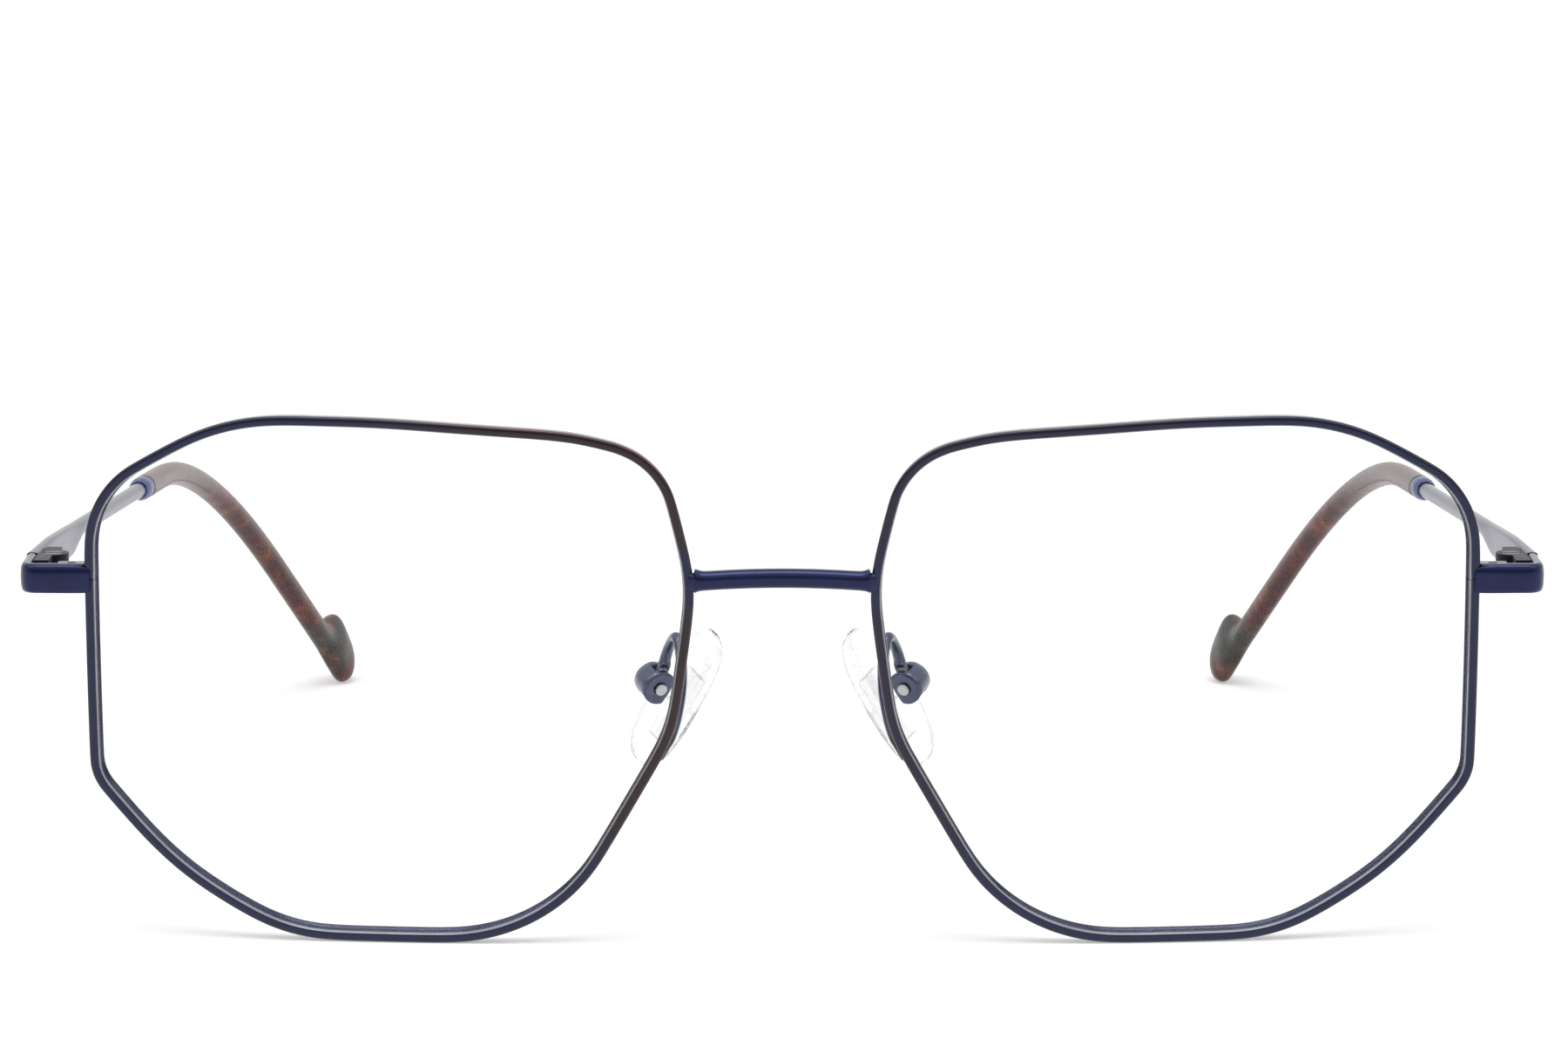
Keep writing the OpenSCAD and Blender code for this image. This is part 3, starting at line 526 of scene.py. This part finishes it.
def flow(piece):
    """Subdivides a swept piece."""
    surface = piece.modifiers.new("flow", "SUBSURF")
    surface.levels = surface.render_levels = FLOW_LEVELS
    return piece


def swept(node, finish, sharp_above=None, corner=60, crease=0.9, shape=None):
    """A swept piece: triangles back to four-sided faces, then a subdivision surface."""
    shape = shape or merged_copy(node)
    into_quads(shape)
    keep_corners(shape, corner, crease)
    return flow(finish_piece(shape, node, finish, sharp_above))


print("swept pieces are subdivided", FLOW_LEVELS, "times")

# %% [markdown]
# Cut pieces, such as hinges, keep their flats and get a narrow bevel. A bevel runs cleanly
# only where each flat is one face, so the triangles on it are dissolved first.

# %% Cut pieces
BEVEL_STEPS = 3
BEVEL_ABOVE = 35      # degrees between two flats
FLAT_WITHIN = 0.6     # degrees within which two faces are one flat
CUT_RIDGE = 40        # degrees: a sharper ridge on a cut piece breaks its smooth shading


def cut(node, finish, edge_mm):
    """A cut piece: flats joined up, then a narrow round on each sharp edge."""
    shape = merged_copy(node)
    bmesh.ops.dissolve_limit(shape, angle_limit=math.radians(FLAT_WITHIN), verts=shape.verts,
                             edges=shape.edges, use_dissolve_boundaries=False)
    piece = finish_piece(shape, node, finish, CUT_RIDGE)
    rounding = piece.modifiers.new("rounding", "BEVEL")
    rounding.width = edge_mm * MM
    rounding.segments = BEVEL_STEPS
    rounding.limit_method = "ANGLE"
    rounding.angle_limit = math.radians(BEVEL_ABOVE)
    return piece


print("cut pieces are rounded in", BEVEL_STEPS, "steps")

# %% [markdown]
# ## Rims
#
# A rim is eye wire: a bar with a V groove, bent round a form. Each vertex gets the number
# that the two-tone lacquer reads: 1 where the wire faces away from the lens, 0 where it
# faces the lens, and a half on its front and back. The flat ends of the wire, at the slit
# behind the endpiece, would spoil that number, so they are left out of it. Behind the
# groove the number is a half again, so the lacquer paints the inner wall there as dark as
# the front: painted shade in the groove. What is behind the groove is found from the
# vertices around, looked up from the front: it lies further back than their middle.

# %% Number the rims' vertices
WIRE_REACH = 1.5 * MM     # how far off a vertex's neighbours on the wire are looked for
SLIT_BEYOND = 60 * MM     # the slit is further than this from the middle of the glasses
LEVEL = 0.9               # a face whose normal has more of Z than this lies level


def seen_from_front(shape):
    """A lookup of the vertices by where they are seen from the front."""
    lookup = KDTree(len(shape.verts))
    for vert in shape.verts:
        lookup.insert((vert.co.x, 0, vert.co.z), vert.index)
    lookup.balance()
    return lookup


def number_outward(shape, middle):
    """Writes how far each vertex of a rim faces away from the rim's middle, and a half behind
    the groove for painted shade.
    """
    shape.normal_update()
    shape.verts.ensure_lookup_table()
    lookup = seen_from_front(shape)
    outward = shape.verts.layers.float.new("outward")
    for vert in shape.verts:
        around = lookup.find_range((vert.co.x, 0, vert.co.z), WIRE_REACH)
        depths = [shape.verts[index].co.y for _, index, _ in around]
        away = vert.co - middle
        away.y = 0
        faces = [face for face in vert.link_faces
                 if abs(vert.co.x) < SLIT_BEYOND or abs(face.normal.z) < LEVEL]
        normal = sum((face.normal for face in faces), Vector()).normalized()
        facing = max(-1, min(1, normal.dot(away.normalized())))
        # Behind the groove: a half, which the lacquer paints as shade.
        if facing < 0 and vert.co.y > sum(depths) / len(depths):
            facing = 0
        vert[outward] = 0.5 + 0.5 * facing


print("neighbours on the wire are looked for within", round(WIRE_REACH / MM, 1), "mm")

# %% [markdown]
# With the number written, a rim is dressed like any swept piece. Only its keenest corners
# stay crisp, such as those round the wire's cut ends.

# %% Dress the rims
for side in SIDES:
    shape = merged_copy(side + "_rim")
    into_quads(shape)
    keep_corners(shape, KEEN_CORNER)
    low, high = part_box(side + "_rim")
    number_outward(shape, (low + high) / 2)
    rim = flow(finish_piece(shape, side + "_rim", rim_lacquer))
    print(rim.name, len(rim.data.polygons), "faces before subdivision")

# %% [markdown]
# ## Lenses
#
# A plain lens is a slice of a thin shell with a V edge that sits in the groove. The CAD
# lens has that shape already. It only needs smooth shading that stops at the edge's ridges.

# %% Dress the lenses
LENS_RIDGE = 25       # degrees: the V edge's ridges are sharper

for side in SIDES:
    shape = merged_copy(side + "_lens")
    lens = finish_piece(shape, side + "_lens", clear_lens, LENS_RIDGE)
    print(lens.name, len(lens.data.polygons), "faces")

# %% [markdown]
# ## Bridge
#
# The bridge is a bar that was soldered on before the lacquer. Where it meets a rim, the
# solder runs up a little; its thin tips are drawn down, so that they don't stand out as
# ears. It flows like the rims, with softer corners.

# %% Dress the bridge
FILLET_FOOT = 36.15 * MM      # the height at which the solder's tips start
FILLET_BESIDE = 7.6 * MM      # and how far from the middle of the glasses
FILLET_LEFT = 0.2             # the share of the tips' height that stays

bridge = merged_copy("bridge")
for vert in bridge.verts:
    if abs(vert.co.x) > FILLET_BESIDE and vert.co.z > FILLET_FOOT:
        vert.co.z = FILLET_FOOT + FILLET_LEFT * (vert.co.z - FILLET_FOOT)
swept("bridge", navy, BAR_RIDGE, crease=0.5, shape=bridge)
print("solder's tips lowered to", FILLET_LEFT, "of their height")

# %% [markdown]
# ## Endpieces, hinges, rim locks and pad boxes
#
# The endpieces are bars that were swept round their bend, and the pads' boxes are small and
# round, so both flow. The hinges and rim locks were cut, so they keep their flats and get a
# narrow bevel. The hinges are blackened.

# %% Dress the soldered metal
HINGE_EDGE = 0.06     # mm, as is the lock's
LOCK_EDGE = 0.08

for side in SIDES:
    swept(side + "_endpiece", navy, BAR_RIDGE, crease=0.6)
    cut(side + "_hinge_front", hinge_black, HINGE_EDGE)
    cut(side + "_hinge_temple", hinge_black, HINGE_EDGE)
    cut(side + "_rim_lock_upper", navy, LOCK_EDGE)
    cut(side + "_rim_lock_lower", navy, LOCK_EDGE)
    swept(side + "_pad_box", wire_grey)
print("soldered metal dressed")

# %% [markdown]
# ## Screws
#
# Turned steel: a shank and a flat head, with a slot in the hinge screws' heads. The hinge
# screws are blackened like the hinges. The pad screws have the roundest heads.

# %% Dress the screws
SCREW_EDGE = 0.03         # mm
PAD_SCREW_EDGE = 0.12

for side in SIDES:
    cut(side + "_hinge_screw", dark_steel, SCREW_EDGE)
    cut(side + "_rim_lock_screw", steel, SCREW_EDGE)
    cut(side + "_pad_screw", steel, PAD_SCREW_EDGE)
print("screws dressed")

# %% [markdown]
# ## Temples
#
# A temple starts as one length of wire. Its front is pressed flat into the paddle, and its
# back goes on as the core of the ear tip.

# %% Dress the temples
for side in SIDES:
    temple = swept(side + "_temple", navy, BAR_RIDGE)
    print(temple.name, len(temple.data.polygons), "faces before subdivision")

# %% [markdown]
# ## Collars
#
# The collar is a small turned ring that hides the joint. Its lacquer has run into the
# mouth, so the innermost ring of the mouth's edge is drawn in to the wire.

# %% Dress the collars
MOUTH_DEPTH = 0.3 * MM
INNER_RING = 0.03 * MM    # how much wider than the bore the innermost ring may be
DRAWN_IN = 0.86

for side in SIDES:
    collar = merged_copy(side + "_collar")
    front_y = min(vert.co.y for vert in collar.verts)
    mouth = [vert for vert in collar.verts if vert.co.y < front_y + MOUTH_DEPTH]
    centre = sum((vert.co for vert in mouth), Vector()) / len(mouth)
    bore = min((vert.co - centre).length for vert in mouth)
    for vert in mouth:
        if (vert.co - centre).length < bore + INNER_RING:
            vert.co = centre + DRAWN_IN * (vert.co - centre)
    swept(side + "_collar", bright_blue, corner=KEEN_CORNER, shape=collar)
    print(side, "collar: inner ring", round(bore / MM, 2), "mm from its centre, drawn in")

# %% [markdown]
# ## Ear tips
#
# The tip is filed to shape and polished, so it flows from end to end, and only edges as
# sharp as its mouth's stay crisp.

# %% Dress the tips
for side in SIDES:
    tip = swept(side + "_tip", tortoise)
    print(tip.name, len(tip.data.polygons), "faces before subdivision")

# %% [markdown]
# ## Pad arms
#
# A pad arm is bent wire. Its end is soldered to the pad's box, so it widens and sinks in a
# little there. The end is found as the lowest ring of the wire above the box.

# %% Dress the pad arms
NEAR_BOX = 1.6 * MM       # how far beside the box's middle the arm's end may be
END_RING = 0.25 * MM      # the height of the ring at the arm's end
WIDENED = 1.15
SUNK = 0.7 * MM

for side in SIDES:
    arm = merged_copy(side + "_pad_arm")
    low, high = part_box(side + "_pad_box")
    box_middle = (low + high) / 2
    above_box = [vert for vert in arm.verts if vert.co.z > box_middle.z
                 and (vert.co - box_middle).xy.length < NEAR_BOX]
    end_height = min(vert.co.z for vert in above_box)
    soldered = [vert for vert in above_box if vert.co.z < end_height + END_RING]
    centre = sum((vert.co for vert in soldered), Vector()) / len(soldered)
    inwards = SUNK * (box_middle - centre).normalized()
    for vert in soldered:
        vert.co = centre + WIDENED * (vert.co - centre) + inwards
    swept(side + "_pad_arm", arm_lacquer, shape=arm)
    print(side, "arm:", len(soldered), "vertices sunk in the solder")

# %% [markdown]
# ## Nose pads
#
# The pad is moulded in silicone round a hard insert, whose lug the screw holds in the box.
# The silicone's pocket can't be seen once the insert fills it, so only its outside is kept,
# as a convex hull, and light meets fewer surfaces.

# %% Dress the nose pads
INSERT_EDGE = 0.1     # mm

for side in SIDES:
    pad = merged_copy(side + "_nose_pad")
    hull = bmesh.ops.convex_hull(pad, input=pad.verts)
    inside = [part for part in hull["geom_interior"] if isinstance(part, bmesh.types.BMVert)]
    bmesh.ops.delete(pad, geom=inside, context="VERTS")
    into_quads(pad)
    flow(finish_piece(pad, side + "_nose_pad", clear_silicone))
    cut(side + "_pad_insert", clear_insert, INSERT_EDGE)
    print(side, "pad:", len(inside), "vertices inside its hull taken out")

# %% [markdown]
# ## Table
#
# The photograph has a white table that runs out of sight, with only a faint shadow where
# the glasses touch. The floor is a pale matt plane with a little light of its own, so its
# lit part is white and its shadows stay. Only rays from the camera, and those that bounce
# off gloss or go through glass, see that light, so it brightens nothing that is matt.

# %% Table
TABLE_HALF = 4          # metres
TABLE_GLOW = 0.36


def sees_white(nodes, links):
    """1 for rays from the camera, and for those that bounce off gloss or go through glass."""
    path = nodes.new("ShaderNodeLightPath").outputs
    seen = add_math(nodes, links, "MAXIMUM", path["Is Camera Ray"], path["Is Glossy Ray"])
    return add_math(nodes, links, "MAXIMUM", seen, path["Is Transmission Ray"])


def make_table_finish():
    """Matt white, with a glow for the rays that look at it."""
    finish, nodes, links, shader = start_finish(
        "white_table", Base_Color=(0.8, 0.8, 0.8, 1), Roughness=0.9, Specular_IOR_Level=0.0,
        Emission_Color=(1, 1, 1, 1))
    glow = add_math(nodes, links, "MULTIPLY", sees_white(nodes, links), TABLE_GLOW)
    links.new(glow, shader.inputs["Emission Strength"])
    return finish


shape = bmesh.new()
bmesh.ops.create_grid(shape, x_segments=1, y_segments=1, size=TABLE_HALF)
mesh = bpy.data.meshes.new("table")
shape.to_mesh(mesh)
shape.free()
mesh.materials.append(make_table_finish())
table = bpy.data.objects.new("table", mesh)
bpy.context.scene.collection.objects.link(table)
print("table is", table.dimensions.x, "m wide")

# %% [markdown]
# ## Lamps
#
# The light of the photograph is very soft. Three wide suns give it, and they light the
# table evenly, however far away it goes.

# %% Lamps
def add_sun(name, from_azimuth, elevation, strength, wide):
    """A wide sun that shines from a compass direction (0 is the viewer's side)."""
    lamp = bpy.data.lights.new(name, "SUN")
    lamp.energy = strength
    lamp.angle = math.radians(wide)
    sun = bpy.data.objects.new(name, lamp)
    turned, raised = math.radians(from_azimuth), math.radians(elevation)
    towards = Vector((math.sin(turned) * math.cos(raised),
                      -math.cos(turned) * math.cos(raised), math.sin(raised)))
    sun.rotation_mode = "QUATERNION"
    sun.rotation_quaternion = towards.to_track_quat("Z", "Y")
    bpy.context.scene.collection.objects.link(sun)
    return sun


add_sun("top_light", 0, 70, 1.1, 34)
add_sun("left_light", -60, 45, 0.5, 40)
add_sun("right_light", 55, 40, 0.4, 40)

# %% [markdown]
# ## Room
#
# What the metal mirrors gives it its form. The room is white, but the viewer's side is
# darker low down, where the camera stands, and light again above, where a soft lamp hangs.
# That darkness is what lets the front faces show their own navy. The room's plain light is
# weaker than the white that the camera sees, so that it fills the shadows and no more.

# %% Room
ROOM_LIGHT = 0.45
DARK_SIDE = (-0.85, 0.15)     # where the mirrored room is darkest along Y, and how light there
WHITE_SIDE = (0.1, 1.0)       # where it turns white
SOFTBOX = (0.05, 0.5)         # where the lamp above starts along Z, and where it is full

world = bpy.data.worlds.new("studio")
bpy.context.scene.world = world
world.use_nodes = True
nodes, links = world.node_tree.nodes, world.node_tree.links
room = nodes["Background"]
room.inputs["Color"].default_value = (1, 1, 1, 1)
room.inputs["Strength"].default_value = ROOM_LIGHT

towards = nodes.new("ShaderNodeSeparateXYZ")
links.new(nodes.new("ShaderNodeTexCoord").outputs["Generated"], towards.inputs["Vector"])
mirrored = nodes.new("ShaderNodeMapRange")
mirrored.inputs["From Min"].default_value, mirrored.inputs["To Min"].default_value = DARK_SIDE
mirrored.inputs["From Max"].default_value, mirrored.inputs["To Max"].default_value = WHITE_SIDE
links.new(towards.outputs["Y"], mirrored.inputs["Value"])
softbox = add_fade(nodes, links, towards.outputs["Z"], *SOFTBOX)
lightest = add_math(nodes, links, "MAXIMUM", mirrored.outputs["Result"], softbox)
print("darkest mirrored light:", DARK_SIDE[1])

# %% [markdown]
# The world then chooses by the kind of ray. Those that see white get the backdrop, dimmed
# only where gloss mirrors it, and all others get the room's plain light.

# %% Backdrop
in_mirror = nodes.new("ShaderNodeMix")
in_mirror.inputs["A"].default_value = 1.0
links.new(nodes.new("ShaderNodeLightPath").outputs["Is Glossy Ray"], in_mirror.inputs["Factor"])
links.new(lightest, in_mirror.inputs["B"])
backdrop = nodes.new("ShaderNodeBackground")
backdrop.inputs["Color"].default_value = (1, 1, 1, 1)
links.new(in_mirror.outputs["Result"], backdrop.inputs["Strength"])
choose = nodes.new("ShaderNodeMixShader")
links.new(sees_white(nodes, links), choose.inputs["Fac"])
links.new(room.outputs[0], choose.inputs[1])
links.new(backdrop.outputs[0], choose.inputs[2])
links.new(choose.outputs[0], nodes["World Output"].inputs["Surface"])
bpy.context.scene.view_settings.view_transform = "Standard"
print("world:", world.name, "with", len(nodes), "nodes")
